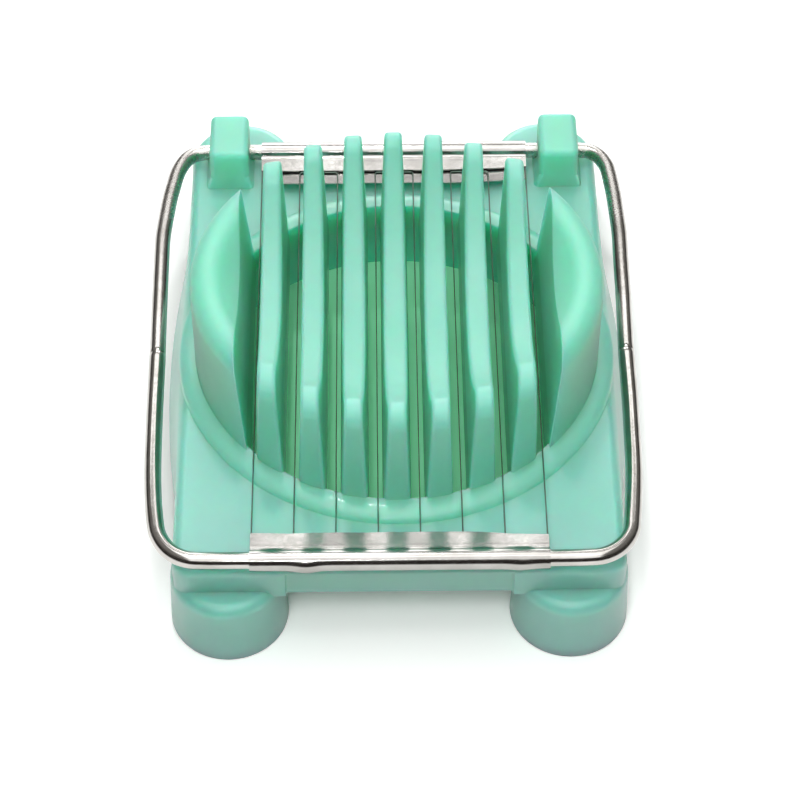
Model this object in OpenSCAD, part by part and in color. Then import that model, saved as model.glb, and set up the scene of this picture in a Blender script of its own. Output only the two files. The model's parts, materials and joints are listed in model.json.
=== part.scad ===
// Egg slicer: a moulded base with a slotted cradle for the egg, and a wire
// frame, hinged at the back, that swings down so its wires enter the slots.
// X runs across, +Y towards the hinge, +Z up. The origin is on the table,
// midway between the four feet.

/* [Cradle] */
// Radius of the slotted opening, which sets the size of the whole base
cup_r = 32.6; // [29:0.1:40]
// Height of the rim over the deck
rim_h = 20.2; // [16:0.1:25]
// Depth of the egg hollow under the rim
hollow_depth = 13.1; // [10:0.1:15]
// Round on the rim
rim_round = 2; // [1.2:0.1:2.4]
// Lean of the outer wall, from its foot to the rim
wall_lean = 1; // [0.5:0.1:1.5]
// How far the outer wall stands on the ring, past the ends of the slots
wall_seat = 0.4; // [0.2:0.1:0.8]
// Width of the ring moulding round the slots
ring_w = 4.1; // [3.5:0.1:5]
// Height of the ring moulding over the deck
ring_h = 1.6; // [1.2:0.1:1.7]
// Depth of the slots below the top of the ring
floor_t = 5.5; // [4:0.1:7]

/* [Deck] */
// Height of the deck's top face
deck_h = 18.2; // [17:0.1:24]
// Height of the skirt's lower edge
skirt_h = 11; // [8:0.1:11.5]
// Deck in front of the ring
front_margin = 8.95; // [6:0.05:12]
// Deck behind the ring, under the hinge
rear_margin = 13.05; // [12:0.05:18]
// How far the ring stands out past the deck's sides
ring_overhang = 0.5; // [0:0.1:1]
// Spread of the ring's collar, from the deck down to the skirt's edge
collar_spread = 2.1; // [1:0.1:2.5]
// Round on the deck's top edges
deck_round = 1.8; // [1:0.1:2]
// Radius of the deck's corners in plan
corner_r = 3; // [2.5:0.1:5]
// Thickness of the moulded walls
wall_t = 2; // [1.5:0.1:2.6]

/* [Feet] */
// Radius of a foot at the table
foot_r = 9.3; // [8:0.1:10.5]
// Height of a foot's top
foot_h = 12.5; // [11.5:0.1:15]
// Round on the top edge of a foot
foot_round = 2; // [1:0.1:3]
// How far a foot narrows from the table to its top
foot_draft = 0.3; // [0.1:0.1:0.6]
// How far the front feet stand out in front of the deck
front_foot_out = 4.5; // [2:0.1:7]
// How far the rear feet stand out behind the deck
rear_foot_out = 12.4; // [9:0.1:14]
// How far the feet stand out past the deck's sides
side_foot_out = 0.1; // [0:0.1:1]
// Thickness of the ribs inside a foot
rib_t = 1.4; // [1:0.1:2]
// Height of those ribs over the table
foot_clear = 0.4; // [0.2:0.1:1]

/* [Wires] */
// Distance between neighbouring wires
wire_pitch = 6.7; // [5.6:0.1:7.6]
// Diameter of the wire
wire_d = 0.3; // [0.2:0.05:0.5]
// Width of a slot at the ring
slot_w = 2.4; // [2:0.1:2.9]
// How much wider a slot is at the rim
slot_draft = 1.4; // [0.8:0.1:1.6]

/* [Frame] */
// Diameter of the frame rod
rod_d = 2.8; // [2.4:0.1:3.4]
// Gap between the deck's sides and the arms
arm_gap = 1.7; // [1.4:0.05:3]
// Distance from the hinge to the seam between the rear and the front rod
seam_start = 48; // [40:0.5:60]
// Diameter of the spigots that join the two rods
spigot_d = 1.6; // [1.2:0.1:1.8]
// Length of a spigot
spigot_l = 6; // [4:0.5:10]
// Clearance of a spigot in its hole
spigot_fit = 0.03; // [0.01:0.01:0.08]
// Distance of the front rod behind the deck's front edge
front_rod_inset = 0.4; // [0:0.1:3]
// Distance of the hinge in front of the deck's rear edge
hinge_inset = 4; // [3.5:0.1:6]
// Radius of the front bends, to the centre of the rod
front_bend_r = 8; // [5:0.5:9]
// Radius of the rear bends, to the centre of the rod
rear_bend_r = 6; // [3:0.1:6.2]
// Thickness of the sheet steel strips
strip_t = 0.3; // [0.2:0.05:0.4]
// Clearance between a strip and the rod that it wraps
strip_fit = 0.03; // [0.01:0.01:0.06]
// Gap between the deck and the strips
strip_gap = 0.37; // [0.3:0.01:0.6]
// How far a strip runs on past the outer wires
strip_end = 0.15; // [0.1:0.05:0.6]
// Reach of a strip's leaves from the centre of its rod
leaf_l = 5.1; // [4.6:0.1:6]
// How far the rear strip's lower leaf runs on past the upper one
lip_l = 2.6; // [2:0.1:3]
// Depth of the front wire loops inside their strip
loop_depth = 0.9; // [0.5:0.1:1.4]
// Gap between the rear wire loops and the edge that they lie against
loop_gap = 0.02; // [0.01:0.01:0.05]

/* [Hinge lugs] */
// Width of a lug
lug_w = 6.8; // [6:0.1:8]
// Length of a lug, front to back
lug_l = 10.5; // [9:0.1:11]
// Height of a lug over the deck
lug_h = 7.8; // [6.5:0.1:9]
// Round on the top edges of a lug
lug_round = 1.4; // [0.8:0.1:2]
// Distance of the hinge in front of a lug's rear face
lug_rear = 3.6; // [3.2:0.1:4]
// Gap between the rear strip and the lugs
lug_gap = 2.2; // [1:0.1:3]
// Deck outside the lugs
lug_margin = 3.6; // [3:0.1:5]
// Width and height of the flare round the foot of a lug
flare = 1; // [0.6:0.1:1.2]
// Radial clearance of the rod in its lugs
hinge_fit = 0.07; // [0.03:0.01:0.1]

/* [Hidden] */
$fn = 96;
wire_count = 8;
fin_count = wire_count - 1;

plastic = "aquamarine";
steel = "silver";
// Overlap of a cut past the face it goes through
past = 1;

wire_r = wire_d / 2;
rod_r = rod_d / 2;
strip_in_r = rod_r + strip_fit;
strip_out_r = strip_in_r + strip_t;
strip_half = (wire_count - 1) * wire_pitch / 2 + strip_end;

// The deck is as wide as the ring or the hinge lugs need
ring_r = cup_r + ring_w;
lug_x = strip_half + lug_gap + lug_w / 2;
deck_half = max(ring_r - ring_overhang, lug_x + lug_w / 2 + lug_margin);

// The feet stand the same distance in front of the origin and behind it
front_foot_in = foot_r - front_foot_out;
rear_foot_in = rear_foot_out - foot_r;
cup_y = (front_margin - front_foot_in - rear_margin - rear_foot_in) / 2;
deck_front = cup_y - ring_r - front_margin;
deck_rear = cup_y + ring_r + rear_margin;
deck_mid = (deck_front + deck_rear) / 2;
deck_l = deck_rear - deck_front;
foot_x = deck_half + side_foot_out - foot_r;
foot_y = deck_rear + rear_foot_in;

ring_top = deck_h + ring_h;
rim_top = deck_h + rim_h;
ceiling = deck_h - wall_t;

hinge_y = deck_rear - hinge_inset;
front_rod_y = deck_front + front_rod_inset;
rod_z = deck_h + strip_gap + strip_out_r;
arm_x = deck_half + arm_gap + rod_r;
seam_y = hinge_y - seam_start;

// The cup's outline: a leaning wall, a round rim and a spherical hollow that
// meets the rim's round without a step
cup_wall_r = cup_r + wall_seat;
rim_r = cup_wall_r - wall_lean - rim_round;
rim_z = rim_top - rim_round;
bowl_depth = hollow_depth - rim_round;
bowl_r = (bowl_depth ^ 2 + rim_r ^ 2 - rim_round ^ 2) / (2 * hollow_depth);
bowl_z = rim_top - hollow_depth + bowl_r;
wall_run = wall_lean + rim_round;
wall_rise = rim_z - ring_top;
wall_angle = acos(rim_round / norm([wall_run, wall_rise])) - atan2(wall_rise, wall_run);

function wire_x(number) = (number - (wire_count + 1) / 2) * wire_pitch;
function fin_x(number) = (number - (fin_count + 1) / 2) * wire_pitch;

// Extrudes an outline drawn in Y and Z along X
module along_x(length) {
    translate([-length / 2, 0, 0]) rotate([90, 0, 90]) linear_extrude(length) children();
}

// Extrudes an outline drawn in X and Z along Y
module along_y(length) {
    translate([0, length / 2, 0]) rotate([90, 0, 0]) linear_extrude(length) children();
}

// A rectangle about the origin with four round corners
module round_rectangle(width, length, radius) {
    square([width - 2 * radius, length], center = true);
    square([width, length - 2 * radius], center = true);
    for (x = [-1, 1], y = [-1, 1])
        translate([x * (width / 2 - radius), y * (length / 2 - radius)]) circle(radius);
}

// An outline that stands on height 0, with its two upper corners round
module round_top(width, height, radius) {
    translate([-width / 2, 0]) square([width, height - radius]);
    translate([radius - width / 2, 0]) square([width - 2 * radius, height]);
    for (side = [-1, 1]) translate([side * (width / 2 - radius), height - radius]) circle(radius);
}

// A block with round upper edges, from height low to height high
module round_block(width, length, low, high, radius) {
    translate([0, 0, low]) intersection() {
        along_x(width) round_top(length, high - low, radius);
        along_y(length) round_top(width, high - low, radius);
    }
}

module deck_plan(inset) {
    translate([0, deck_mid])
        round_rectangle(2 * (deck_half - inset), deck_l - 2 * inset, corner_r - inset / 2);
}

// The space inside the skirt
module deck_inside() {
    linear_extrude(ceiling) deck_plan(wall_t);
}

module deck_block() {
    intersection() {
        linear_extrude(deck_h) deck_plan(0);
        translate([0, deck_mid, 0]) round_block(2 * deck_half, deck_l, skirt_h, deck_h, deck_round);
    }
}

// The ring, the floor inside it, and the collar that hangs below it and
// bulges past the deck's sides
module ring_and_floor() {
    collar_r = ring_r + collar_spread;
    floor_z = ring_top - floor_t;
    floor_r = ring_r + collar_spread * (deck_h - floor_z) / (deck_h - skirt_h) - wall_t;
    translate([0, cup_y, 0]) rotate_extrude() {
        translate([ring_r - ring_h, deck_h]) circle(ring_h);
        polygon([
            [0, floor_z], [floor_r, floor_z], [collar_r - wall_t, skirt_h], [collar_r, skirt_h],
            [ring_r, deck_h], [ring_r - ring_h, ring_top], [0, ring_top]
        ]);
    }
}

module slots() {
    translate([0, cup_y, 0]) intersection() {
        cylinder(h = rim_top, r = cup_r);
        for (i = [1 : wire_count])
            translate([wire_x(i) - slot_w / 2, -cup_r, 0]) cube([slot_w, 2 * cup_r, rim_top]);
    }
}

// Places its children at each of the four feet
module at_feet() {
    for (x = [-foot_x, foot_x], y = [-foot_y, foot_y]) translate([x, y, 0]) children();
}

module foot_outside() {
    top_r = foot_r - foot_draft;
    rotate_extrude() {
        translate([top_r - foot_round, foot_h - foot_round]) circle(foot_round);
        polygon([
            [0, 0], [foot_r, 0], [top_r, foot_h - foot_round],
            [top_r - foot_round, foot_h], [0, foot_h]
        ]);
    }
}

// The hollow in a foot, open below. Under the deck it reaches the ceiling.
module foot_hollows() {
    hollow_r = foot_r - foot_draft - wall_t;
    at_feet() translate([0, 0, -past]) cylinder(h = foot_h - wall_t + past, r = hollow_r);
    intersection() {
        at_feet() cylinder(h = ceiling, r = hollow_r);
        deck_inside();
    }
}

// Two crossed ribs stiffen each foot and stop just above the table
module foot_ribs() {
    rib_h = foot_h - wall_t / 2 - foot_clear;
    reach = 2 * (foot_r - wall_t / 2 - foot_draft);
    at_feet() translate([0, 0, foot_clear + rib_h / 2]) {
        cube([reach, rib_t, rib_h], center = true);
        cube([rib_t, reach, rib_h], center = true);
    }
}

// Where a foot stands under the deck its wall carries on up to the ceiling
module foot_posts() {
    intersection() {
        at_feet() cylinder(h = deck_h - wall_t / 2, r = foot_r - foot_draft);
        linear_extrude(deck_h) deck_plan(wall_t / 2);
    }
}

module lug() {
    flare_h = flare + deck_round;
    translate([0, lug_rear - lug_l / 2, 0])
        round_block(lug_w, lug_l, ceiling, deck_h + lug_h, lug_round);
    translate([0, lug_rear - lug_l / 2 - flare / 2, deck_h]) along_y(lug_l - flare)
        polygon([
            [-lug_w / 2 - flare, -wall_t / 2], [lug_w / 2 + flare, -wall_t / 2],
            [lug_w / 2, flare_h], [-lug_w / 2, flare_h]
        ]);
}

module base() {
    color(plastic) difference() {
        union() {
            difference() {
                union() {
                    difference() {
                        deck_block();
                        deck_inside();
                    }
                    at_feet() foot_outside();
                    foot_posts();
                }
                foot_hollows();
            }
            foot_ribs();
            ring_and_floor();
            for (side = [-1, 1]) translate([side * lug_x, hinge_y, 0]) lug();
        }
        slots();
        translate([0, hinge_y, rod_z]) rotate([0, 90, 0])
            cylinder(h = 2 * arm_x, r = rod_r + hinge_fit, center = true);
    }
}

// The whole cup, as if it had no slots
module cup() {
    rim = [rim_r, rim_z];
    translate([0, cup_y, 0]) rotate_extrude() {
        translate(rim) circle(rim_round);
        difference() {
            polygon([
                [0, ring_top], [cup_wall_r, ring_top],
                rim + rim_round * [cos(wall_angle), sin(wall_angle)], rim, [0, bowl_z]
            ]);
            translate([0, bowl_z]) circle(bowl_r);
        }
    }
}

// The outline of a fin, seen along the wires, between two slots
module fin_outline() {
    foot_w = wire_pitch - slot_w;
    tip_w = foot_w - slot_draft;
    polygon([
        [-foot_w / 2, ring_top], [foot_w / 2, ring_top],
        [tip_w / 2, rim_top], [-tip_w / 2, rim_top]
    ]);
}

module cradle_fin(number) {
    color(plastic) intersection() {
        cup();
        translate([fin_x(number), cup_y, 0]) along_y(2 * ring_r) fin_outline();
    }
}

// What the cup has outside the last slot on one side
module cradle_wing(side) {
    foot = wire_x(wire_count) + slot_w / 2;
    color(plastic) intersection() {
        cup();
        translate([0, cup_y, 0]) along_y(2 * ring_r)
            polygon([
                [side * foot, ring_top], [side * ring_r, ring_top],
                [side * ring_r, rim_top], [side * (foot + slot_draft / 2), rim_top]
            ]);
    }
}

// A round bar along Y
module bar(x, from, to, radius) {
    translate([x, from, 0]) rotate([-90, 0, 0]) cylinder(h = to - from, r = radius);
}

module crossbar(rod_y, bend_r) {
    translate([0, rod_y, 0]) rotate([0, 90, 0])
        cylinder(h = 2 * (arm_x - bend_r), r = rod_r, center = true);
}

// The bend at the right end of a crossbar, 1 for the rear side and -1 for the
// front one
module bend(rod_y, bend_r, side) {
    translate([arm_x - bend_r, rod_y - side * bend_r, 0]) rotate(side == 1 ? 0 : -90)
        rotate_extrude(angle = 90) translate([bend_r, 0]) circle(rod_r);
}

module both_sides() {
    children();
    mirror([1, 0, 0]) children();
}

module front_rod() {
    color(steel) translate([0, 0, rod_z]) difference() {
        union() {
            crossbar(front_rod_y, front_bend_r);
            both_sides() bend(front_rod_y, front_bend_r, -1);
            both_sides() bar(arm_x, front_rod_y + front_bend_r, seam_y, rod_r);
        }
        both_sides() bar(arm_x, seam_y - spigot_l - spigot_fit, seam_y + past, spigot_d / 2 + spigot_fit);
    }
}

// Each arm of the rear rod ends in a spigot inside the front rod
module rear_rod() {
    color(steel) translate([0, 0, rod_z]) {
        crossbar(hinge_y, rear_bend_r);
        both_sides() bend(hinge_y, rear_bend_r, 1);
        both_sides() bar(arm_x, seam_y, hinge_y - rear_bend_r, rod_r);
        both_sides() bar(arm_x, seam_y - spigot_l, seam_y, spigot_d / 2);
    }
}

// A sheet wrapped round a rod, in Y and Z, with two leaves that hold the wires
// between them. The leaves point along +Y.
module strip_outline(upper_l, lower_l) {
    difference() {
        union() {
            circle(strip_out_r);
            translate([0, wire_r]) square([upper_l, strip_t]);
            translate([0, -wire_r - strip_t]) square([lower_l, strip_t]);
        }
        circle(strip_in_r);
    }
}

module front_strip() {
    color(steel) translate([0, front_rod_y, rod_z]) along_x(2 * strip_half)
        strip_outline(leaf_l, leaf_l);
}

module rear_strip() {
    color(steel) translate([0, hinge_y, rod_z]) along_x(2 * strip_half)
        mirror([1, 0]) strip_outline(leaf_l, leaf_l + lip_l);
}

// Half of the loop that joins a wire to the next one, towards side
module half_loop(side) {
    sphere(wire_r);
    rotate([0, side * 90, 0]) cylinder(h = wire_pitch / 2, r = wire_r);
}

// One run of the wire. The front loops join wires 1 and 2, 3 and 4, and so on,
// and the rear loops join wires 2 and 3, 4 and 5, and so on.
module cutting_wire(number) {
    front_side = number % 2 == 1 ? 1 : -1;
    front = front_rod_y + leaf_l - loop_depth;
    last = number == 1 || number == wire_count;
    rear = hinge_y - leaf_l - wire_r - loop_gap;
    length = rear - front + (last ? loop_depth : 0);
    color(steel) translate([wire_x(number), 0, rod_z]) {
        translate([0, front, 0]) rotate([-90, 0, 0]) cylinder(h = length, r = wire_r);
        translate([0, front, 0]) half_loop(front_side);
        if (!last) translate([0, rear, 0]) half_loop(-front_side);
    }
}

base();
for (i = [1 : fin_count])
    cradle_fin(i);
cradle_wing(-1);  // cradle_wing_left
cradle_wing(1);  // cradle_wing_right
front_rod();
rear_rod();
front_strip();
rear_strip();
for (i = [1 : wire_count])
    cutting_wire(i);
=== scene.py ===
import json
import math

import bpy
import bmesh
from mathutils import Matrix, Vector, noise

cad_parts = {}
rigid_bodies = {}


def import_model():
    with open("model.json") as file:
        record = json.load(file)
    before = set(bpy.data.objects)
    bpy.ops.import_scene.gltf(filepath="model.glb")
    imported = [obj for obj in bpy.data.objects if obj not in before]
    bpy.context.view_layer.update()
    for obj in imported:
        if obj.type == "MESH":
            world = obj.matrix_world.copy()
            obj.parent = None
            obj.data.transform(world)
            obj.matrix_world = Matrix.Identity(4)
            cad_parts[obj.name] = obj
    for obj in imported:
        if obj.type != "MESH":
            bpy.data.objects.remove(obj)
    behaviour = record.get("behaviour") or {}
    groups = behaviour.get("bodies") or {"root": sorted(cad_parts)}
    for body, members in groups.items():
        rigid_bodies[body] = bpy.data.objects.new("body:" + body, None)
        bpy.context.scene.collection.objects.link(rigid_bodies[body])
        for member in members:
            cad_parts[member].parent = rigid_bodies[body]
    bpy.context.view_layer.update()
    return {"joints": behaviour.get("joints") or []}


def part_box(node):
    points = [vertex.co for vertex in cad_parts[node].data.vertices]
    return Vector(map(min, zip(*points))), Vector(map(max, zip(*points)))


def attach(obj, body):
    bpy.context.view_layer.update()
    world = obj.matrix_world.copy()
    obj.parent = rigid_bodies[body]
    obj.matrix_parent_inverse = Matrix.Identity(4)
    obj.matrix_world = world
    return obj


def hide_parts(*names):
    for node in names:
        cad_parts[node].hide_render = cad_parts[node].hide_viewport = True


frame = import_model()
mm = 0.001
slack = 0.01  # what counts as lying on a plane, in mm
past = 1  # how far a cutting tool reaches past a face, in mm


# Places read from the frame, in mm

def boxOf(node):
    low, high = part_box(node)
    return low / mm, high / mm


finLow, finHigh = boxOf("cradle_fin_4")
nextFinLow, nextFinHigh = boxOf("cradle_fin_5")
frontRodLow, frontRodHigh = boxOf("front_rod")
hinge = Vector(frame["joints"][0]["pos_m"]) / mm
cupY = (finLow.y + finHigh.y) / 2
ringTop = finLow.z
rimTop = finHigh.z
pitch = (nextFinLow.x + nextFinHigh.x) / 2  # the middle fin stands at x = 0
rodR = (frontRodHigh.z - frontRodLow.z) / 2
frontRodY = frontRodLow.y + rodR
print("frame read")


# Mesh helpers. Shapes are modelled in mm and scaled to metres when they become an object.

def arc(centre, radius, start, stop, steps):
    angles = [math.radians(start + (stop - start) * i / steps) for i in range(steps + 1)]
    return [(centre[0] + radius * math.cos(a), centre[1] + radius * math.sin(a)) for a in angles]


def makeObject(bm, name):
    bmesh.ops.scale(bm, vec=(mm, mm, mm), verts=bm.verts)
    mesh = bpy.data.meshes.new(name)
    bm.to_mesh(mesh)
    bm.free()
    piece = bpy.data.objects.new(name, mesh)
    bpy.context.scene.collection.objects.link(piece)
    return piece


def revolve(outline, centre, steps, closed=True):
    bm = bmesh.new()
    verts = [bm.verts.new((r, 0, z)) for r, z in outline]
    ends = verts[1:] + verts[:1] if closed else verts[1:]
    edges = [bm.edges.new(pair) for pair in zip(verts, ends)]
    bmesh.ops.spin(bm, geom=verts + edges, cent=(0, 0, 0), axis=(0, 0, 1), angle=2 * math.pi,
                   steps=steps, use_merge=True)
    bmesh.ops.remove_doubles(bm, verts=bm.verts, dist=slack / 10)
    bmesh.ops.recalc_face_normals(bm, faces=bm.faces)
    bmesh.ops.translate(bm, vec=centre, verts=bm.verts)
    return bm


def block(low, high):
    low, high = Vector(low), Vector(high)
    bm = bmesh.new()
    bmesh.ops.create_cube(bm, size=1)
    bmesh.ops.scale(bm, vec=high - low, verts=bm.verts)
    bmesh.ops.translate(bm, vec=(low + high) / 2, verts=bm.verts)
    return bm


def upright(a, b):
    return abs(a.z - b.z) > 1


def above(z):
    return lambda a, b: min(a.z, b.z) > z


def below(z):
    return lambda a, b: max(a.z, b.z) < z


def roundEdges(bm, offset, segments, chosen):
    edges = [e for e in bm.edges if chosen(*(v.co for v in e.verts))]
    bmesh.ops.bevel(bm, geom=edges, offset=offset, segments=segments, profile=0.5,
                    affect="EDGES", material=-1)


def cutPlane(bm, point, normal, **how):
    everything = bm.verts[:] + bm.edges[:] + bm.faces[:]
    return bmesh.ops.bisect_plane(bm, geom=everything, plane_co=point, plane_no=normal, **how)


def trim(bm, point, outwards):
    cut = cutPlane(bm, point, outwards, clear_outer=True)
    rim = [e for e in cut["geom_cut"] if isinstance(e, bmesh.types.BMEdge)]
    bmesh.ops.edgeloop_fill(bm, edges=rim)


def rod(radius, start, stop, steps):
    start, stop = Vector(start), Vector(stop)
    bm = bmesh.new()
    bmesh.ops.create_cone(bm, cap_ends=True, segments=steps, radius1=radius, radius2=radius,
                          depth=(stop - start).length)
    turn = (stop - start).to_track_quat("Z", "Y").to_matrix()
    bmesh.ops.rotate(bm, matrix=turn, verts=bm.verts)
    bmesh.ops.translate(bm, vec=(start + stop) / 2, verts=bm.verts)
    return bm


def applyModifiers(piece):
    graph = bpy.context.evaluated_depsgraph_get()
    mesh = bpy.data.meshes.new_from_object(piece.evaluated_get(graph))
    piece.modifiers.clear()
    piece.data = mesh


def combine(piece, shapes, how):
    tools = bpy.data.collections.new("tools")
    for shape in shapes:
        tool = makeObject(shape, "tool")
        bpy.context.scene.collection.objects.unlink(tool)
        tools.objects.link(tool)
    step = piece.modifiers.new(how.lower(), "BOOLEAN")
    step.operation = how
    step.operand_type = "COLLECTION"
    step.collection = tools
    step.solver = "MANIFOLD"
    applyModifiers(piece)
    for tool in list(tools.objects):
        bpy.data.objects.remove(tool)
    bpy.data.collections.remove(tools)


def smooth(piece, angle):
    piece.data.shade_smooth()
    piece.data.set_sharp_from_angle(angle=math.radians(angle))
    weigh = piece.modifiers.new("weigh", "WEIGHTED_NORMAL")
    weigh.keep_sharp = True


# The deck with its skirt, open below

deck = {
    "width": 72.4,
    "front": -51.65,
    "rear": 43.75,
    "top": 18.2,
    "skirt": 11,
    "corner": 3,
    "edge": 1.8,
    "wall": 2,
    "lip": 0.4,
    # The sides swell round the cup, most at the skirt's lower edge
    "swell": 2.6,
    "swellReach": 30,
    "swellTop": 17.3,
    "swellStep": 3,
    "swellLevels": (12.5, 14, 15.4),
    "sharp": 32,
}


def makeDeck():
    half = deck["width"] / 2
    bm = block((-half, deck["front"], deck["skirt"]), (half, deck["rear"], deck["top"]))
    roundEdges(bm, deck["corner"], 8, upright)
    roundEdges(bm, deck["edge"], 6, above(deck["top"] - slack))
    floor = [f for f in bm.faces if f.normal.z < -0.9]
    bmesh.ops.inset_region(bm, faces=floor, thickness=deck["wall"])
    inside = bmesh.ops.extrude_face_region(bm, geom=floor)
    risen = [v for v in inside["geom"] if isinstance(v, bmesh.types.BMVert)]
    bmesh.ops.translate(bm, vec=(0, 0, deck["top"] - deck["wall"] - deck["skirt"]), verts=risen)
    bmesh.ops.delete(bm, geom=[f for f in floor if f.is_valid], context="FACES")
    bmesh.ops.recalc_face_normals(bm, faces=bm.faces)
    roundEdges(bm, deck["lip"], 2, below(deck["skirt"] + slack))
    # Loops across the sides let them swell
    count = round(deck["swellReach"] / deck["swellStep"])
    for i in range(-count, count + 1):
        cutPlane(bm, (0, cupY + i * deck["swellStep"], 0), (0, 1, 0))
    for z in deck["swellLevels"]:
        cutPlane(bm, (0, 0, z), (0, 0, 1))
    for vert in bm.verts:
        x, y, z = vert.co
        if abs(x) > half - deck["wall"] - 0.1:
            along = max(0, 1 - ((y - cupY) / deck["swellReach"]) ** 2)
            down = max(0, (deck["swellTop"] - z) / (deck["swellTop"] - deck["skirt"]))
            vert.co.x += math.copysign(deck["swell"] * along * down, x)
    return bm


# A foot, hollow from below, and the D-shaped post above it that joins the deck

foot = {
    "x": 27.7,
    "y": 46.6,
    "radius": 9.6,
    "topRadius": 9.2,
    "height": 12.5,
    "edge": 2,
    "wall": 2,
    "lip": 0.35,
    "hollowEdge": 0.4,
    "rib": 1.4,
    "ribClear": 0.4,
    "ribEdge": 0.2,
    "ribSink": 1,
    # The post starts inside the foot and stays inside the deck's outside
    "postSink": 4,
    "postInset": 1,
}


def makeFoot(x, y):
    top = foot["height"] - foot["edge"]
    flat = foot["topRadius"] - foot["edge"]
    hollow = foot["topRadius"] - foot["wall"]
    lip, edge = foot["lip"], foot["hollowEdge"]
    outline = [(0, foot["height"])]
    outline += arc((flat, top), foot["edge"], 90, 0, 8)
    outline += arc((foot["radius"] - lip, lip), lip, 0, -90, 3)
    outline += [(hollow + lip, 0), (hollow, lip), (hollow, top - edge), (hollow - edge, top), (0, top)]
    return revolve(outline, (x, y, 0), 96, closed=False)


def footRibs(x, y):
    reach = foot["radius"] - foot["wall"] / 2
    half = foot["rib"] / 2
    low, high = foot["ribClear"], foot["height"] - foot["ribSink"]
    shapes = []
    for across, along in ((reach, half), (half, reach)):
        bm = block((x - across, y - along, low), (x + across, y + along, high))
        roundEdges(bm, foot["ribEdge"], 2, below(low + slack))
        shapes.append(bm)
    return shapes


def footPost(x, y, radius, inset, low, high):
    bm = rod(radius, (x, y, low), (x, y, high), 96)
    edge = deck["front"] + inset if y < 0 else deck["rear"] - inset
    trim(bm, (0, edge, 0), (0, math.copysign(1, y), 0))
    trim(bm, (math.copysign(deck["width"] / 2 - inset, x), 0, 0), (math.copysign(1, x), 0, 0))
    return bm


# The ring round the slots

ring = {
    "slotEnd": 32.6,
    "radius": 36.7,
    "draft": 0.1,
    "edge": 1.6,
    "crown": 3.1,
    "innerEdge": 0.3,
    "floor": 14.3,
    # The round wall that stands under the ring, inside the skirt
    "wallIn": 33.2,
    "wallOut": 35.2,
    "wallFoot": 4.5,
    "wallLip": 0.4,
    "wallSink": 0.5,
    # The round hole cut through the deck before the ring goes in
    "hole": 34.5,
    "holeSpan": (5, 30),
}


def makeRing():
    inner = ring["innerEdge"]
    outline = [(ring["slotEnd"], ring["floor"])]
    outline += arc((ring["slotEnd"] + inner, ringTop - inner), inner, 180, 90, 3)
    crown = arc((0, 0), 1, 90, 0, 12)
    start = ring["radius"] - ring["crown"]
    outline += [(start + ring["crown"] * y, deck["top"] + ring["edge"] * z) for y, z in crown]
    outline += [(ring["radius"] + ring["draft"], ring["floor"])]
    return revolve(outline, (0, cupY, 0), 192)


def makeRingWall():
    near, far, low = ring["wallIn"], ring["wallOut"], ring["wallFoot"]
    lip, sink = ring["wallLip"], ring["wallSink"]
    outline = [(near, ring["floor"] + sink), (near, low + lip), (near + lip, low), (far - lip, low)]
    outline += [(far, low + lip), (far, deck["top"] - deck["wall"] + sink)]
    return revolve(outline, (0, cupY, 0), 192)


# The cup that the fins and wings are slices of: a leaning wall, a round rim and a spherical bowl

cup = {
    "foot": 33,
    "rimR": 29.1,
    "round": 2.9,
    "depth": 13.1,
    "slot": 2.4,
    "draft": 1.4,
    "edge": 0.6,
    "seat": 33.4,
    # The fins stand a little wider apart than the wires, and a little to the left
    "spacing": 1.022,
    "offset": -0.25,
    "crestBend": 0.25,
    # How far the circle widens to the sides, at the foot and at the rim
    "footOval": 0.976,
    "rimOval": 0.94,
    "wingDraft": 1.45,
    # The fins' ends lean outwards, and their rear ends stand a little higher
    "rearLean": 1.5,
    "rearRise": 0.3,
    "frontLean": 0.3,
    "leanReach": 20,
    # How far below the ring's top a slice turns upright, and from where its edges are rounded
    "seatDrop": 0.4,
    "edgeDrop": 0.5,
    # Points along the bowl, the rim and the wall, and across a fin
    "bowlSteps": 28,
    "rimSteps": 12,
    "wallSteps": 10,
    "finPoints": 5,
    "wingRimSteps": 14,
    "wingBowlRows": 9,
}
rimZ = rimTop - cup["round"]
bowlR = ((cup["depth"] - cup["round"]) ** 2 + cup["rimR"] ** 2 - cup["round"] ** 2) / (2 * cup["depth"])
bowlZ = rimTop - cup["depth"] + bowlR
wallRun = cup["foot"] - cup["rimR"]
wallRise = rimZ - ringTop
wallLean = math.acos(cup["round"] / math.hypot(wallRun, wallRise)) - math.atan2(wallRise, wallRun)
bowlEdge = math.atan2(bowlZ - rimZ, -cup["rimR"])
wallTop = (cup["rimR"] + cup["round"] * math.cos(wallLean), rimZ + cup["round"] * math.sin(wallLean))


def ovalAt(z):
    share = min(1, max(0, (z - ringTop) / (rimTop - ringTop)))
    return cup["footOval"] + (cup["rimOval"] - cup["footOval"]) * share


def finHalf(z):
    return (pitch - cup["slot"] - cup["draft"] * (z - ringTop) / (rimTop - ringTop)) / 2


def onWall(share, x):
    r = wallTop[0] + (cup["foot"] - wallTop[0]) * share
    z = wallTop[1] + (ringTop - wallTop[1]) * share
    return Vector((x, math.sqrt(r * r - x * x), z))


def onRim(share, x):
    angle = bowlEdge + (wallLean - bowlEdge) * share
    r = cup["rimR"] + cup["round"] * math.cos(angle)
    return Vector((x, math.sqrt(r * r - x * x), rimZ + cup["round"] * math.sin(angle)))


def onBowl(share, x):
    edgeR = cup["rimR"] + cup["round"] * math.cos(bowlEdge)
    y = math.sqrt(edgeR * edgeR - x * x) * share
    return Vector((x, y, bowlZ - math.sqrt(bowlR * bowlR - x * x - y * y)))


def onSeat(z, x):
    return Vector((x, math.sqrt(cup["seat"] ** 2 - x * x), z))


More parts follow.
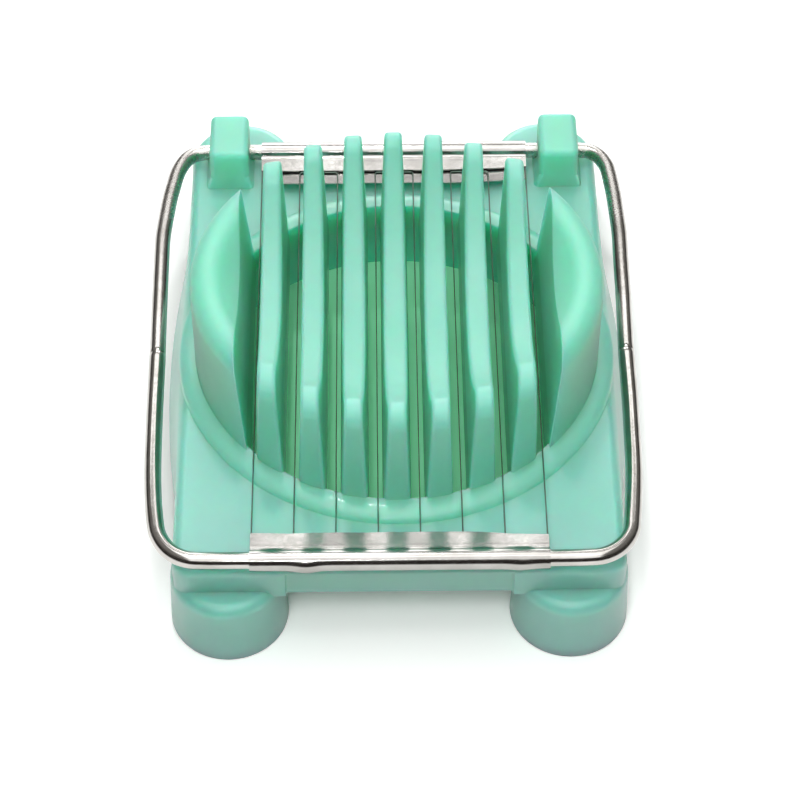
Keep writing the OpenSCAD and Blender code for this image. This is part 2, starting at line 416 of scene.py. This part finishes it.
def makeFin(centre):
    # A grid laid over the top of the fin, then closed by its flat sides and underside
    bowl, rim, wall = cup["bowlSteps"], cup["rimSteps"], cup["wallSteps"]
    half = [(onBowl, i / bowl) for i in range(bowl)] + [(onRim, i / rim) for i in range(rim)]
    half += [(onWall, i / wall) for i in range(wall + 1)]
    path = [(place, share, -1) for place, share in reversed(half[1:])]
    path += [(place, share, 1) for place, share in half]
    path = [("low", 0, -1), ("seat", 0, -1)] + path + [("seat", 0, 1), ("low", 0, 1)]
    wide = cup["finPoints"]
    bm = bmesh.new()
    bmesh.ops.create_grid(bm, x_segments=len(path) - 1, y_segments=wide - 1, size=1)
    rows = sorted(bm.verts, key=lambda v: (round(v.co.x, 5), v.co.y))
    for index, vert in enumerate(rows):
        place, share, flip = path[index // wide]
        side = (index % wide) / (wide - 1) * 2 - 1
        x = centre
        # A slice is thinner the higher it is, so its side is found in a few rounds
        for _ in range(4):
            if place == "low":
                point = onSeat(ring["floor"], x)
            elif place == "seat":
                point = onSeat(ringTop - cup["seatDrop"], x)
            else:
                bend = share ** 2 if place is onWall else 0
                across = centre + (x - centre) * (cup["crestBend"] * (1 - bend) + bend)
                point = place(share, across * ovalAt(rimTop - (rimTop - ringTop) * bend))
            x = centre + side * finHalf(point.z)
        height = max(0, (point.z - ringTop) / (rimTop - ringTop))
        lean = cup["rearLean"] if flip > 0 else cup["frontLean"]
        rise = cup["rearRise"] * max(0, flip * point.y / cup["foot"]) ** 2 * height
        spread = lean * height * min(1, point.y / cup["leanReach"])
        vert.co = (x, cupY + flip * (point.y + spread), point.z + rise)
    capEdges = []
    for column in (rows[0::wide], rows[wide - 1::wide]):
        side = [bm.edges.get(pair) for pair in zip(column, column[1:])]
        under = bm.edges.new((column[0], column[-1]))
        bmesh.ops.edgeloop_fill(bm, edges=side + [under])
        capEdges += side
    bmesh.ops.edgeloop_fill(bm, edges=[e for e in bm.edges if len(e.link_faces) < 2])
    bmesh.ops.recalc_face_normals(bm, faces=bm.faces)
    upper = [e for e in capEdges if min(v.co.z for v in e.verts) > ringTop - cup["edgeDrop"]]
    bmesh.ops.bevel(bm, geom=upper, offset=cup["edge"], segments=4, profile=0.5,
                    affect="EDGES", material=-1)
    return bm


def makeWing(side):
    bowl, rim, wall = cup["bowlSteps"], cup["wingRimSteps"], cup["wallSteps"]
    points = [onWall(1 - i / wall, 0) for i in range(wall + 1)]
    points += [onRim(1 - i / rim, 0) for i in range(1, rim + 1)]
    points += [onBowl(1 - i / bowl, 0) for i in range(1, cup["wingBowlRows"] + 1)]
    outline = [(cup["seat"], ring["floor"]), (cup["seat"], ringTop - cup["seatDrop"])]
    outline += [(p.y, p.z) for p in points]
    outline += [(outline[-1][0], ring["floor"])]
    bm = revolve(outline, (0, cupY, 0), 256)
    for vert in bm.verts:
        vert.co.x /= ovalAt(vert.co.z)
    lean = math.atan2(cup["wingDraft"], rimTop - ringTop)
    start = 4 * pitch - pitch / 2 + cup["slot"] / 2
    trim(bm, (side * start, 0, ringTop), (-side * math.cos(lean), 0, math.sin(lean)))
    bm.faces.ensure_lookup_table()
    cap = max((f for f in bm.faces if f.normal.x * side < -0.99), key=lambda f: f.calc_area())
    upper = [e for e in cap.edges if min(v.co.z for v in e.verts) > ringTop - cup["edgeDrop"]]
    bmesh.ops.bevel(bm, geom=upper, offset=cup["edge"], segments=4, profile=0.5,
                    affect="EDGES", material=-1, clamp_overlap=True)
    return bm


# The lugs that the frame turns in

lug = {
    "x": 29.2,
    "width": 6.8,
    "front": 32.85,
    "rear": 43.35,
    "top": 26.4,
    "sink": 1.5,
    "round": 1.1,
    "bore": 1.47,
    "boreHalf": 40,
    # The foot of a lug widens to the deck
    "flare": 1.1,
    "flareFront": 0.3,
    "flareRear": -0.6,
    "flareSink": 1,
    "flareHeight": 2.4,
    "flareTuck": 0.05,
    "flareLean": 0.35,
    "flareRound": 0.6,
}


def makeLug(side):
    x, half = side * lug["x"], lug["width"] / 2
    bm = block((x - half, lug["front"], deck["top"] - lug["sink"]), (x + half, lug["rear"], lug["top"]))
    atTop = above(lug["top"] - slack)
    roundEdges(bm, lug["round"], 5, lambda a, b: upright(a, b) or atTop(a, b))
    return bm


def makeFlare(side):
    x, half, spread = side * lug["x"], lug["width"] / 2, lug["flare"]
    low, high = deck["top"] - lug["flareSink"], deck["top"] + lug["flareHeight"]
    front, rear = lug["front"] - lug["flareFront"], lug["rear"] + lug["flareRear"]
    bm = block((x - half - spread, front, low), (x + half + spread, rear, high))
    for vert in bm.verts:
        if vert.co.z > low + 1:
            vert.co.x = x + math.copysign(half - lug["flareTuck"], vert.co.x - x)
            vert.co.y += lug["flareLean"] if vert.co.y < (front + rear) / 2 else -lug["flareLean"]
    roundEdges(bm, lug["flareRound"], 4, upright)
    return bm


# The front wall steps back between the feet

recess = {
    "half": 18.2,
    "top": 17,
    "atTop": 0.4,
    "atFoot": 0.7,
    "corner": 0.6,
    # The cutting tool starts this far below the skirt, and is this much deeper there
    "reach": 3,
    "slant": 0.5,
    # The wall is thicker behind the step
    "backing": 2.4,
    "backingInset": 1,
    "backingWider": 2,
    "backingLift": 0.02,
    "backingEdge": 0.4,
}


def recessCut():
    wall, reach = deck["front"], recess["reach"]
    half, low, high = recess["half"], deck["skirt"] - reach, recess["top"]
    bm = block((-half, wall - reach, low), (half, wall + recess["atTop"], high))
    for vert in bm.verts:
        if vert.co.y > wall and vert.co.z < low + 1:
            vert.co.y = wall + recess["atFoot"] + recess["slant"]
    roundEdges(bm, recess["corner"], 5, lambda a, b: min(a.y, b.y) > wall)
    return bm


def recessBacking():
    inset, low = recess["backingInset"], deck["skirt"] + recess["backingLift"]
    wall, half = deck["front"] + inset, recess["half"] + recess["backingWider"]
    bm = block((-half, wall, low), (half, wall + recess["backing"], deck["top"] - inset))
    roundEdges(bm, recess["backingEdge"], 2, below(low + slack))
    return bm


def makeMoulding():
    moulding = makeObject(makeDeck(), "moulding")
    combine(moulding, [recessBacking()], "UNION")
    combine(moulding, [recessCut()], "DIFFERENCE")
    low, high = ring["holeSpan"]
    combine(moulding, [rod(ring["hole"], (0, cupY, low), (0, cupY, high), 192)], "DIFFERENCE")
    places = [(x, y) for x in (-foot["x"], foot["x"]) for y in (-foot["y"], foot["y"])]
    inset, roof = foot["postInset"], deck["top"] - deck["wall"]
    radius, hollow = foot["topRadius"], foot["topRadius"] - foot["wall"]
    start = foot["height"] - foot["postSink"]
    shapes = [makeFoot(x, y) for x, y in places]
    shapes += [footPost(x, y, radius, inset, start, deck["top"] - inset) for x, y in places]
    combine(moulding, shapes, "UNION")
    hollows = [rod(hollow, (x, y, -past), (x, y, foot["height"] - foot["wall"]), 96) for x, y in places]
    hollows += [footPost(x, y, hollow, deck["wall"], start, roof) for x, y in places]
    combine(moulding, hollows, "DIFFERENCE")
    shapes = [makeRing(), makeRingWall()]
    shapes += [shape for x, y in places for shape in footRibs(x, y)]
    shapes += [makeFin(i * pitch * cup["spacing"] + cup["offset"]) for i in range(-3, 4)]
    shapes += [makeWing(side) for side in (-1, 1)]
    shapes += [make(side) for side in (-1, 1) for make in (makeLug, makeFlare)]
    combine(moulding, shapes, "UNION")
    half = lug["boreHalf"]
    bore = rod(lug["bore"], (-half, hinge.y, hinge.z), (half, hinge.y, hinge.z), 64)
    combine(moulding, [bore], "DIFFERENCE")
    smooth(moulding, deck["sharp"])
    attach(moulding, "moulding")
    fins = ["cradle_fin_%d" % i for i in range(1, 8)]
    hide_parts("base", *fins, "cradle_wing_left", "cradle_wing_right")
    return moulding


moulding = makeMoulding()
print("moulding made:", len(moulding.data.polygons), "faces")


# The steel frame: two bent rods that meet in a seam on each arm

frameRods = {
    "seam": -8.4,
    "seamGap": 0.05,
    "frontRadius": 1.4,
    "rearRadius": 1.36,
    "end": 0.1,
    "sharp": 50,
    # Arm centres from the hinge forwards: y, then x of the left and the right arm
    "rearArms": [(33.6, -38.75, 38.3), (31.8, -39.05, 38.5), (28.3, -39.6, 38.8), (24.9, -39.95, 38.95),
                 (21.5, -40.25, 39.1), (18, -40.45, 39.15), (11.5, -40.4, 39), (5, -40.3, 38.9),
                 (-1.5, -40.2, 38.7)],
    "frontArms": [(-15, -40, 38.45), (-20, -39.95, 38.4), (-26, -39.85, 38.25), (-32, -39.7, 38.1),
                  (-37.5, -39.4, 37.75), (-43, -38.85, 37.2)],
    "seamArms": (-40.05, 38.5),
    # The left corner's points, how much less the right one's x is, and the points between them
    "frontCorner": [(-38.1, -46.4), (-36.3, -49.2), (-33.7, -50.8), (-30.4, -51.2)],
    "frontShift": 1.5,
    "frontStops": (-22, -8, 8, 22),
    "rearCorner": [(-38.2, 35.6), (-37.1, 37.9), (-35.4, 39.3), (-33.2, 39.75), (-31.5, 39.75)],
    "rearShift": 0.25,
    "rearStops": (-24, -12, 0, 12, 24),
}


def smoothPath(points, steps=8):
    # A curve through the points, by Catmull and Rom
    points = [Vector(p) for p in points]
    points = [points[0] * 2 - points[1]] + points + [points[-1] * 2 - points[-2]]
    path = []
    for a, b, c, d in zip(points, points[1:], points[2:], points[3:]):
        for i in range(steps):
            t = i / steps
            path.append(0.5 * (2 * b + (c - a) * t + (2 * a - 5 * b + 4 * c - d) * t * t
                               + (3 * b - a - 3 * c + d) * t ** 3))
    return path + [points[-2]]


def sweep(path, radius, sides=24):
    # A circle pulled along the path, turned at each step
    ways = [(b - a).normalized() for a, b in zip(path, path[1:])]
    middle = [(a + b).normalized() for a, b in zip(ways, ways[1:])]
    tangents = [ways[0]] + middle + [ways[-1]]
    bm = bmesh.new()
    bmesh.ops.create_circle(bm, cap_ends=False, segments=sides, radius=radius)
    bmesh.ops.rotate(bm, matrix=tangents[0].to_track_quat("Z", "Y").to_matrix(), verts=bm.verts)
    bmesh.ops.translate(bm, vec=path[0], verts=bm.verts)
    rim = list(bm.edges)
    bmesh.ops.edgeloop_fill(bm, edges=rim)
    for here, there, before, after in zip(path, path[1:], tangents, tangents[1:]):
        grown = bmesh.ops.extrude_edge_only(bm, edges=rim)
        verts = [g for g in grown["geom"] if isinstance(g, bmesh.types.BMVert)]
        edges = [g for g in grown["geom"] if isinstance(g, bmesh.types.BMEdge)]
        rim = [e for e in edges if all(v in verts for v in e.verts)]
        turn = before.rotation_difference(after).to_matrix()
        bmesh.ops.rotate(bm, cent=here, matrix=turn, verts=verts)
        bmesh.ops.translate(bm, vec=there - here, verts=verts)
    bmesh.ops.edgeloop_fill(bm, edges=rim)
    bmesh.ops.recalc_face_normals(bm, faces=bm.faces)
    return bm


def makeRod(name, node, end, y, seam, arms, radius):
    left, right = frameRods["seamArms"]
    arms = [(seam, left, right)] + arms
    corner, shift = frameRods[end + "Corner"], frameRods[end + "Shift"]
    path = [(row[1], row[0]) for row in arms] + corner
    path += [(x, y) for x in frameRods[end + "Stops"]]
    path += [(-x - shift, cornerY) for x, cornerY in reversed(corner)]
    path += [(row[2], row[0]) for row in reversed(arms)]
    bm = sweep(smoothPath([(x, along, hinge.z) for x, along in path]), radius)
    ends = [f for f in bm.faces if len(f.verts) > 4]
    rims = [e for f in ends for e in f.edges]
    bmesh.ops.bevel(bm, geom=rims, offset=frameRods["end"], segments=2, profile=0.5,
                    affect="EDGES", material=-1)
    piece = makeObject(bm, name)
    smooth(piece, frameRods["sharp"])
    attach(piece, "cutter")
    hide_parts(node)
    return piece


frontRod = makeRod("front_rod_bent", "front_rod", "front", frontRodY,
                   frameRods["seam"] - frameRods["seamGap"], frameRods["frontArms"],
                   frameRods["frontRadius"])
rearRod = makeRod("rear_rod_bent", "rear_rod", "rear", hinge.y,
                  frameRods["seam"] + frameRods["seamGap"], frameRods["rearArms"][::-1],
                  frameRods["rearRadius"])
print("rods made")


# The two strips of sheet steel, folded round the rods with the wires between their leaves

strips = {
    "half": 23.6,
    "thickness": 0.3,
    "wrap": 1.58,
    "leaf": 0.3,
    "fillet": 0.8,
    "frontReach": (5.1, 5.1),
    "rearReach": (5.1, 7.7),
    "stations": 96,
    "sharp": 40,
    # The leaves' free ends wave, droop and run ragged, from this far out
    "looseFrom": 2.4,
    "looseRun": 3,
    "wave": 0.1,
    "waveLength": 7,
    "waveSeed": 3,
    "droop": 0.09,
    "ragged": 0.12,
    "raggedLength": 5,
    "raggedSeed": 8,
    # The right end of the leaf is cut back at a slant
    "slant": 0.8,
    "slantFrom": 11,
    "slantRun": 12,
    # Dents on the front fold: where they are, and how far they stand out
    "dents": [(-14.7, 0.22), (19.2, 0.12)],
    "dentWidth": 1.8,
    "dentFade": 1.42,
}


def stripProfile(upper, lower):
    # From the end of the upper leaf, round the rod, to the end of the lower leaf.
    # The leaves point along +Y.
    wrap, leaf, fillet = strips["wrap"], strips["leaf"], strips["fillet"]
    run = math.sqrt((wrap + fillet) ** 2 - (leaf + fillet) ** 2)
    angle = math.degrees(math.atan2(leaf + fillet, run))
    top = [(upper - (upper - run) * i / 6, leaf) for i in range(6)]
    top += arc((run, leaf + fillet), fillet, 270, 180 + angle, 6)
    turn = arc((0, 0), wrap, angle, 360 - angle, 40)[1:-1]
    under = [(y, -z) for y, z in arc((run, leaf + fillet), fillet, 270, 180 + angle, 6)][::-1]
    under += [(lower - (lower - run) * i / 8, -leaf) for i in range(8)][::-1]
    return top + turn + under


def makeStrip(name, node, centre, reach, facing):
    profile = stripProfile(*reach)
    stations = strips["stations"]
    bm = bmesh.new()
    bmesh.ops.create_grid(bm, x_segments=stations, y_segments=len(profile) - 1, size=1)
    rows = sorted(bm.verts, key=lambda v: (round(v.co.x, 5), v.co.y))
    for index, vert in enumerate(rows):
        x = (index // len(profile)) / stations * 2 * strips["half"] - strips["half"]
        y, z = profile[index % len(profile)]
        out = min(1, max(0, y - strips["looseFrom"]) / strips["looseRun"])
        wavy = noise.noise(Vector((x / strips["waveLength"], strips["waveSeed"] * facing, 0)))
        swell = (wavy * strips["wave"] - strips["droop"]) * out
        rough = noise.noise(Vector((x / strips["raggedLength"], strips["raggedSeed"] * facing, z)))
        ragged = rough * strips["ragged"] * out
        slant = strips["slant"] * min(1, max(0, (x - strips["slantFrom"]) / strips["slantRun"])) * out
        for place, height in strips["dents"] if y < 1 and facing > 0 else []:
            dent = height * math.exp(-((x - place) / strips["dentWidth"]) ** 2)
            grow = 1 + dent * max(0, -(z + y) / strips["wrap"] / strips["dentFade"])
            y, z = y * grow, z * grow
        vert.co = (x, centre.y + facing * (y + ragged - slant), centre.z + z + swell)
    bmesh.ops.recalc_face_normals(bm, faces=bm.faces)
    piece = makeObject(bm, name)
    wall = piece.modifiers.new("thickness", "SOLIDIFY")
    wall.thickness = strips["thickness"] * mm
    wall.offset = 0
    applyModifiers(piece)
    smooth(piece, strips["sharp"])
    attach(piece, "cutter")
    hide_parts(node)
    return piece


frontStrip = makeStrip("front_strip_folded", "front_strip", Vector((0, frontRodY, hinge.z)),
                       strips["frontReach"], 1)
rearStrip = makeStrip("rear_strip_folded", "rear_strip", hinge, strips["rearReach"], -1)
print("strips made")


# One wire laced to and fro between the strips

wire = {
    "radius": 0.12,
    "front": -47.05,
    "rear": 34.48,
    "corner": 0.5,
    "tail": 0.9,
    "runs": 8,
    "sides": 10,
    "sharp": 60,
}


def roundCorners(points, radius, steps=4):
    points = [Vector(p) for p in points]
    path = [points[0]]
    for a, b, c in zip(points, points[1:], points[2:]):
        before, after = (a - b).normalized(), (c - b).normalized()
        for i in range(steps + 1):
            t = i / steps
            path.append(b + before * radius * (1 - t) ** 2 + after * radius * t ** 2)
    return path + [points[-1]]


def makeWire():
    z = hinge.z
    stops = []
    for i in range(wire["runs"]):
        x = (i - (wire["runs"] - 1) / 2) * pitch
        ends = [(x, wire["rear"], z), (x, wire["front"], z)]
        stops += ends if i % 2 == 0 else ends[::-1]
    stops[0] = (stops[0][0], wire["rear"] + wire["tail"], z)
    stops[-1] = (stops[-1][0], wire["rear"] + wire["tail"], z)
    bm = sweep(roundCorners(stops, wire["corner"]), wire["radius"], wire["sides"])
    piece = makeObject(bm, "laced_wire")
    smooth(piece, wire["sharp"])
    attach(piece, "cutter")
    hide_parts(*["cutting_wire_%d" % i for i in range(1, wire["runs"] + 1)])
    return piece


lacedWire = makeWire()
print("wire made")


# Materials

def colourOf(text):
    parts = [int(text[i:i + 2], 16) / 255 for i in (1, 3, 5)]
    return [p / 12.92 if p <= 0.04045 else ((p + 0.055) / 1.055) ** 2.4 for p in parts] + [1]


def newMaterial(name):
    material = bpy.data.materials.new(name)
    material.use_nodes = True
    material.node_tree.nodes.clear()
    return material, material.node_tree


def addNode(tree, kind, settings=(), links=()):
    node = tree.nodes.new("ShaderNode" + kind)
    for name, value in dict(settings).items():
        if isinstance(name, int) or name in node.inputs:
            node.inputs[name].default_value = value
        else:
            setattr(node, name, value)
    for name, source in dict(links).items():
        tree.links.new(source, node.inputs[name])
    return node


def setRamp(node, stops):
    while len(node.color_ramp.elements) < len(stops):
        node.color_ramp.elements.new(0.5)
    for element, (place, colour) in zip(node.color_ramp.elements, stops):
        element.position = place
        element.color = colourOf(colour)


def dress(piece, material):
    piece.data.materials.clear()
    piece.data.materials.append(material)


plastic = {
    "colours": [(0.3, "#79D0B3"), (0.7, "#85D6BD")],
    # Sizes of the clouds in the colour, of the flow marks and of the peel, in mm.
    # Real peel is finer, and too fine to show.
    "cloud": 22,
    "flow": 9,
    "peel": 1.4,
    "peelDepth": 0.02,
    "edge": 0.2,  # how round the sharpest edges look
    "rough": (0.48, 0.58),
    # Up to here the mould was polished, which adds a coat and takes off roughness
    "polishEnd": (20.2, 21.2),
    "polish": 0.33,
    "polishSmooths": 0.3,
    # How far light travels inside, in metres, and the share for red, green and blue
    "depth": 0.011,
    "depthShares": (0.18, 1, 0.65),
    "specular": 0.9,
    "coatRough": 0.1,
}


def mintPolypropylene():
    # Milky mint plastic that light soaks into; the cup is satin, the deck and feet glossier
    material, tree = newMaterial("mint polypropylene, injection moulded")
    place = addNode(tree, "TexCoord").outputs["Object"]
    cloud = addNode(tree, "TexNoise",
                    {"Scale": 1 / (plastic["cloud"] * mm), "Detail": 3, "Roughness": 0.55},
                    {"Vector": place})
    tint = addNode(tree, "ValToRGB", {}, {"Fac": cloud.outputs["Fac"]})
    setRamp(tint, plastic["colours"])
    flow = addNode(tree, "TexNoise", {"Scale": 1 / (plastic["flow"] * mm), "Detail": 4, "Roughness": 0.6},
                   {"Vector": place})
    low, high = plastic["rough"]
    gloss = addNode(tree, "MapRange", {"To Min": low, "To Max": high}, {"Value": flow.outputs["Fac"]})
    peel = addNode(tree, "TexNoise", {"Scale": 1 / (plastic["peel"] * mm), "Detail": 2}, {"Vector": place})
    edges = addNode(tree, "Bevel", {"Radius": plastic["edge"] * mm, "samples": 6})
    bump = addNode(tree, "Bump", {"Strength": 0.06, "Distance": plastic["peelDepth"] * mm},
                   {"Height": peel.outputs["Fac"], "Normal": edges.outputs["Normal"]})
    height = addNode(tree, "SeparateXYZ", {}, {"Vector": place})
    start, end = plastic["polishEnd"]
    polish = addNode(tree, "MapRange", {"From Min": start * mm, "From Max": end * mm,
                                        "To Min": plastic["polish"], "To Max": 0},
                     {"Value": height.outputs["Z"]})
    satin = addNode(tree, "Math", {"operation": "MULTIPLY_ADD", 1: -plastic["polishSmooths"]},
                    {0: polish.outputs["Result"], 2: gloss.outputs["Result"]})
    shader = addNode(tree, "BsdfPrincipled", {"Subsurface Weight": 1,
                                              "Subsurface Scale": plastic["depth"],
                                              "Subsurface Radius": plastic["depthShares"],
                                              "Specular IOR Level": plastic["specular"],
                                              "Coat Roughness": plastic["coatRough"]},
                     {"Base Color": tint.outputs["Color"], "Roughness": satin.outputs["Value"],
                      "Coat Weight": polish.outputs["Result"], "Normal": bump.outputs["Normal"]})
    addNode(tree, "OutputMaterial", {}, {"Surface": shader.outputs["BSDF"]})
    return material


steel = {
    # Stains in the colour, in mm, and how deep the grain is
    "stain": 6,
    "grainDepth": 0.02,
    # The rod's rear is duller than its front, and turns so over this stretch
    "dullRun": (12, 24),
    # Each finish: its two tones, roughness from and to, grain in mm, and how much duller at the rear.
    # Real grain is far finer, and too fine to show.
    "rod": (("#A8A5A0", "#C3C0BC"), (0.1, 0.24), 0.8, 0.1),
    "strip": (("#9E9C98", "#B6B4B1"), (0.1, 0.26), 0.6, 0),
    # The thin wire's tones are a greenish grey. This is a painted reflection of the plastic that it
    # mirrors on all sides
    "wire": (("#66766C", "#7C8B81"), (0.35, 0.5), 1, 0),
}


def drawnSteel(name, finish):
    # Bright steel whose fine grain and stains break up the reflections
    tones, (low, high), grain, dull = steel[finish]
    material, tree = newMaterial(name)
    place = addNode(tree, "TexCoord").outputs["Object"]
    stain = addNode(tree, "TexNoise", {"Scale": 1 / (steel["stain"] * mm), "Detail": 4}, {"Vector": place})
    tone = addNode(tree, "ValToRGB", {}, {"Fac": stain.outputs["Fac"]})
    setRamp(tone, [(0.3, tones[0]), (0.7, tones[1])])
    worn = addNode(tree, "TexNoise", {"Scale": 1 / (grain * mm), "Detail": 5}, {"Vector": place})
    along = addNode(tree, "SeparateXYZ", {}, {"Vector": place})
    start, end = steel["dullRun"]
    rear = addNode(tree, "MapRange", {"From Min": start * mm, "From Max": end * mm, "To Max": dull},
                   {"Value": along.outputs["Y"]})
    rough = addNode(tree, "MapRange", {"To Min": low, "To Max": high}, {"Value": worn.outputs["Fac"]})
    both = addNode(tree, "Math", {"operation": "ADD"},
                   {0: rough.outputs["Result"], 1: rear.outputs["Result"]})
    bump = addNode(tree, "Bump", {"Strength": 0.25, "Distance": steel["grainDepth"] * mm},
                   {"Height": worn.outputs["Fac"]})
    shader = addNode(tree, "BsdfPrincipled", {"Metallic": 1},
                     {"Base Color": tone.outputs["Color"], "Roughness": both.outputs[0],
                      "Normal": bump.outputs["Normal"]})
    addNode(tree, "OutputMaterial", {}, {"Surface": shader.outputs["BSDF"]})
    return material


dress(moulding, mintPolypropylene())
rodSteel = drawnSteel("stainless steel rod, drawn and polished", "rod")
dress(frontRod, rodSteel)
dress(rearRod, rodSteel)
stripSteel = drawnSteel("stainless steel sheet, rolled", "strip")
dress(frontStrip, stripSteel)
dress(rearStrip, stripSteel)
dress(lacedWire, drawnSteel("stainless steel wire, drawn", "wire"))
print("materials made")


# Floor, light and camera

studio = {
    "cameraAt": (-3.6, -293.1, 347.5),
    "cameraTilt": 50,
    "cameraTurn": 0.84,
    "cameraRoll": 0.18,
    "lens": 116.415,
    "nearest": 0.01,
    # Each lamp's place, what it points at, its width and height, and its power.
    # The fill is the one that no metal mirrors.
    "lamps": {
        "softbox": ((0, 60, 650), (0, 0, 20), 440, 440, 1.3),
        "backCard": ((0, 640, 240), (0, 20, 20), 400, 400, 2.0),
        "tube": ((0, 994, 1152), (0, 10, 20), 1500, 130, 2.0),
        "window": ((-30, 180, 480), (0, -40, 20), 40, 40, 0.35),
        "ceiling": ((0, -320, 640), (0, 0, 0), 500, 500, 1.25),
        "fill": ((-40, -370, 490), (0, -50, 10), 240, 240, 1.3),
        "glint": ((-30, -330, 340), (0, -50, 10), 16, 16, 0.05),
    },
    # Colours of the room, from low in front to high at the back
    "sky": [(0, "#3C3835"), (0.33, "#55524F"), (0.48, "#94918D"), (0.7, "#A8A5A2"), (0.78, "#98958F"),
            (0.87, "#F0EFED")],
    "skyPower": 0.75,
    # How much of a direction's height, and of how far back it points, counts in the colours above
    "skyUp": 0.75,
    "skyBack": 0.25,
}


paper = {
    # Linear colours, the first inside the circle under the cup and the second outside it: what
    # the paper sends back to the slicer, and what is seen of it. The green inside the circle is painted
    # light, a painted pool that stands in for green light through the plastic
    "bounce": ((0.5, 1.1, 0.75, 1), (0.35, 0.35, 0.35, 1)),
    "shown": ((0.5, 1.3, 0.8, 1), (1.18, 1.18, 1.18, 1)),
    "circle": (33, 39),
    "centre": 5,  # how far the circle lies behind the cup's middle
    "white": (130, 420),
    "half": 2000,
}


def makeFloor():
    bm = bmesh.new()
    bmesh.ops.create_grid(bm, x_segments=1, y_segments=1, size=paper["half"])
    floor = makeObject(bm, "floor")
    material, tree = newMaterial("white paper floor")
    # Under the cup the paper is painted green. This is painted light that stands in for green light
    # through the plastic, both where it lights the slicer and where it is seen
    place = addNode(tree, "TexCoord").outputs["Object"]
    centred = addNode(tree, "Mapping", {"Location": (0, -(cupY + paper["centre"]) * mm, 0)},
                      {"Vector": place})
    away = addNode(tree, "VectorMath", {"operation": "LENGTH"}, {0: centred.outputs["Vector"]})
    start, end = paper["circle"]
    under = addNode(tree, "MapRange", {"From Min": start * mm, "From Max": end * mm},
                    {"Value": away.outputs["Value"]})
    inside, outside = paper["bounce"]
    # Painted green light that the paper sends back into the slots and onto the fins' sides
    paintedGlow = addNode(tree, "MixRGB", {"Color1": inside, "Color2": outside}, {"Fac": under.outputs["Result"]})
    lit = addNode(tree, "BsdfDiffuse", {}, {"Color": paintedGlow.outputs["Color"]})
    inside, outside = paper["shown"]
    # Painted green light, seen on the paper through the slots and below the base
    tint = addNode(tree, "MixRGB", {"Color1": inside, "Color2": outside}, {"Fac": under.outputs["Result"]})
    near = addNode(tree, "BsdfDiffuse", {}, {"Color": tint.outputs["Color"]})
    # Far from the slicer the paper is plain white
    start, end = paper["white"]
    far = addNode(tree, "MapRange", {"From Min": start * mm, "From Max": end * mm},
                  {"Value": away.outputs["Value"]})
    white = addNode(tree, "Emission")
    shown = addNode(tree, "MixShader", {},
                    {0: far.outputs["Result"], 1: near.outputs[0], 2: white.outputs[0]})
    rays = addNode(tree, "LightPath")
    seen = addNode(tree, "Math", {"operation": "ADD"},
                   {0: rays.outputs["Is Camera Ray"], 1: rays.outputs["Is Glossy Ray"]})
    through = addNode(tree, "Math", {"operation": "ADD"},
                      {0: seen.outputs[0], 1: rays.outputs["Is Transmission Ray"]})
    mix = addNode(tree, "MixShader", {}, {0: through.outputs[0], 1: lit.outputs[0], 2: shown.outputs[0]})
    addNode(tree, "OutputMaterial", {}, {"Surface": mix.outputs[0]})
    dress(floor, material)


def makeWorld():
    world = bpy.data.worlds.new("studio")
    bpy.context.scene.world = world
    world.use_nodes = True
    tree = world.node_tree
    tree.nodes.clear()
    place = addNode(tree, "TexCoord").outputs["Generated"]
    height = addNode(tree, "SeparateXYZ", {}, {"Vector": place})
    back = addNode(tree, "Math", {"operation": "MULTIPLY", 1: studio["skyBack"]}, {0: height.outputs["Y"]})
    share = addNode(tree, "Math", {"operation": "MULTIPLY_ADD", 1: studio["skyUp"]},
                    {0: height.outputs["Z"], 2: back.outputs[0]})
    sky = addNode(tree, "ValToRGB", {}, {"Fac": share.outputs[0]})
    setRamp(sky, studio["sky"])
    light = addNode(tree, "Background", {"Strength": studio["skyPower"]}, {"Color": sky.outputs["Color"]})
    addNode(tree, "OutputWorld", {}, {"Surface": light.outputs[0]})


def makeLamps():
    for name, (place, target, width, height, power) in studio["lamps"].items():
        data = bpy.data.lights.new(name, "AREA")
        data.shape = "RECTANGLE"
        data.size = width * mm
        data.size_y = height * mm
        data.energy = power
        lamp = bpy.data.objects.new(name, data)
        bpy.context.scene.collection.objects.link(lamp)
        lamp.location = Vector(place) * mm
        aim = (Vector(target) - Vector(place)).to_track_quat("-Z", "Y")
        lamp.rotation_euler = aim.to_euler()
        lamp.visible_glossy = name != "fill"


def makeCamera():
    data = bpy.data.cameras.new("camera")
    data.lens = studio["lens"]
    camera = bpy.data.objects.new("camera", data)
    bpy.context.scene.collection.objects.link(camera)
    tilt, turn = math.radians(studio["cameraTilt"]), math.radians(studio["cameraTurn"])
    ahead = Vector((math.sin(turn) * math.cos(tilt), math.cos(turn) * math.cos(tilt), -math.sin(tilt)))
    facing = ahead.to_track_quat("-Z", "Y").to_matrix().to_4x4()
    facing = facing @ Matrix.Rotation(math.radians(studio["cameraRoll"]), 4, "Z")
    camera.matrix_world = Matrix.Translation(Vector(studio["cameraAt"]) * mm) @ facing
    data.clip_start = studio["nearest"]
    bpy.context.scene.camera = camera


makeFloor()
makeWorld()
makeLamps()
makeCamera()
bpy.context.scene.view_settings.view_transform = "Standard"
print("stage set")
